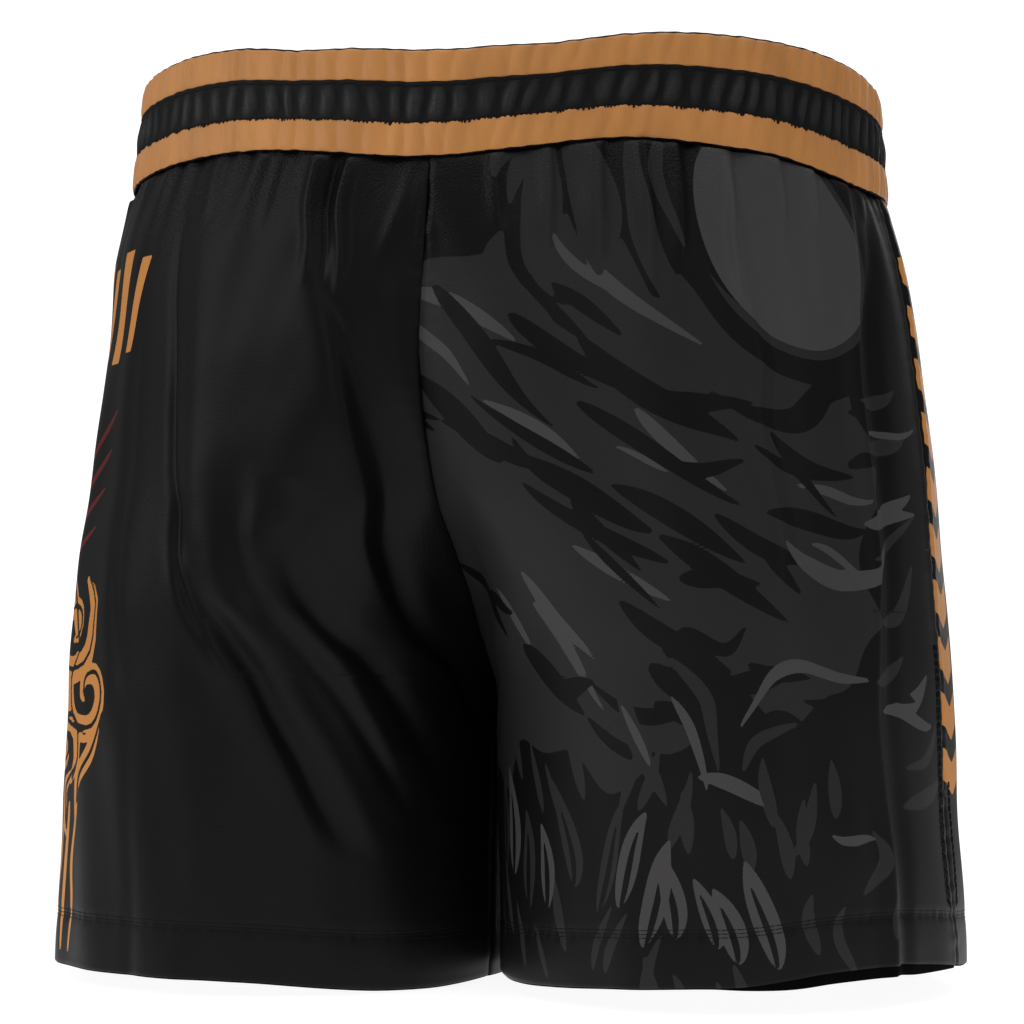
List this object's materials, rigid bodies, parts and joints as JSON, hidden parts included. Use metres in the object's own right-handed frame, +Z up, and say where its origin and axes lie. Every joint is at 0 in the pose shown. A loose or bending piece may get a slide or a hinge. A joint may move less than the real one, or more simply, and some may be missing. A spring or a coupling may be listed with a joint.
{
  "type": "boxing shorts",
  "caption": "Loose shorts with a striped elastic waistband, side slits with bar-tacked tops, side-seam pocket bags and stitched hems, held in worn shape.",
  "frame": {"origin": "on the resting plane of the two hems, midway between the legs", "axes": "+Z up through the waist opening, +Y to the wearer's back, +X to the wearer's left"},
  "size_m": [0.36, 0.2471, 0.3455],
  "materials": {
    "panel_cloth": "black satin-faced polyester, short soft highlights, tone-on-tone print",
    "gold_stripe": "matt amber-gold polyester, gathered over elastic",
    "black_stripe": "black polyester, gathered over elastic",
    "facing_cloth": "plain black polyester",
    "elastic": "off-white woven elastic, ribbed",
    "topstitch_thread": "black polyester thread",
    "overlock_thread": "black overlocked seam allowance",
    "pocket_cloth": "thin black mesh lining",
    "label_cloth": "white satin tape, blank"
  },
  "bodies": {
    "root": {"back_panel_left": "panel_cloth", "back_panel_right": "panel_cloth", "front_panel_left": "panel_cloth", "front_panel_right": "panel_cloth", "waistband_top_stripe": "gold_stripe", "waistband_bottom_stripe": "gold_stripe", "waistband_middle_stripe": "black_stripe", "waistband_facing": "facing_cloth", "waistband_elastic": "elastic", "waistband_upper_topstitch": "topstitch_thread", "waistband_lower_topstitch": "topstitch_thread", "hem_stitching_back_left": "topstitch_thread", "hem_stitching_back_right": "topstitch_thread", "hem_stitching_front_left": "topstitch_thread", "hem_stitching_front_right": "topstitch_thread", "side_stitching_back_left": "topstitch_thread", "side_stitching_back_right": "topstitch_thread", "side_stitching_front_left": "topstitch_thread", "side_stitching_front_right": "topstitch_thread", "pocket_stitching_left": "topstitch_thread", "pocket_stitching_right": "topstitch_thread", "slit_bartack_left": "topstitch_thread", "slit_bartack_right": "topstitch_thread", "inseam_overlock_left": "overlock_thread", "inseam_overlock_right": "overlock_thread", "side_seam_overlock_left": "overlock_thread", "side_seam_overlock_right": "overlock_thread", "rise_seam_overlock": "overlock_thread", "pocket_bag_left": "pocket_cloth", "pocket_bag_right": "pocket_cloth", "care_label": "label_cloth"}
  },
  "joints": []
}
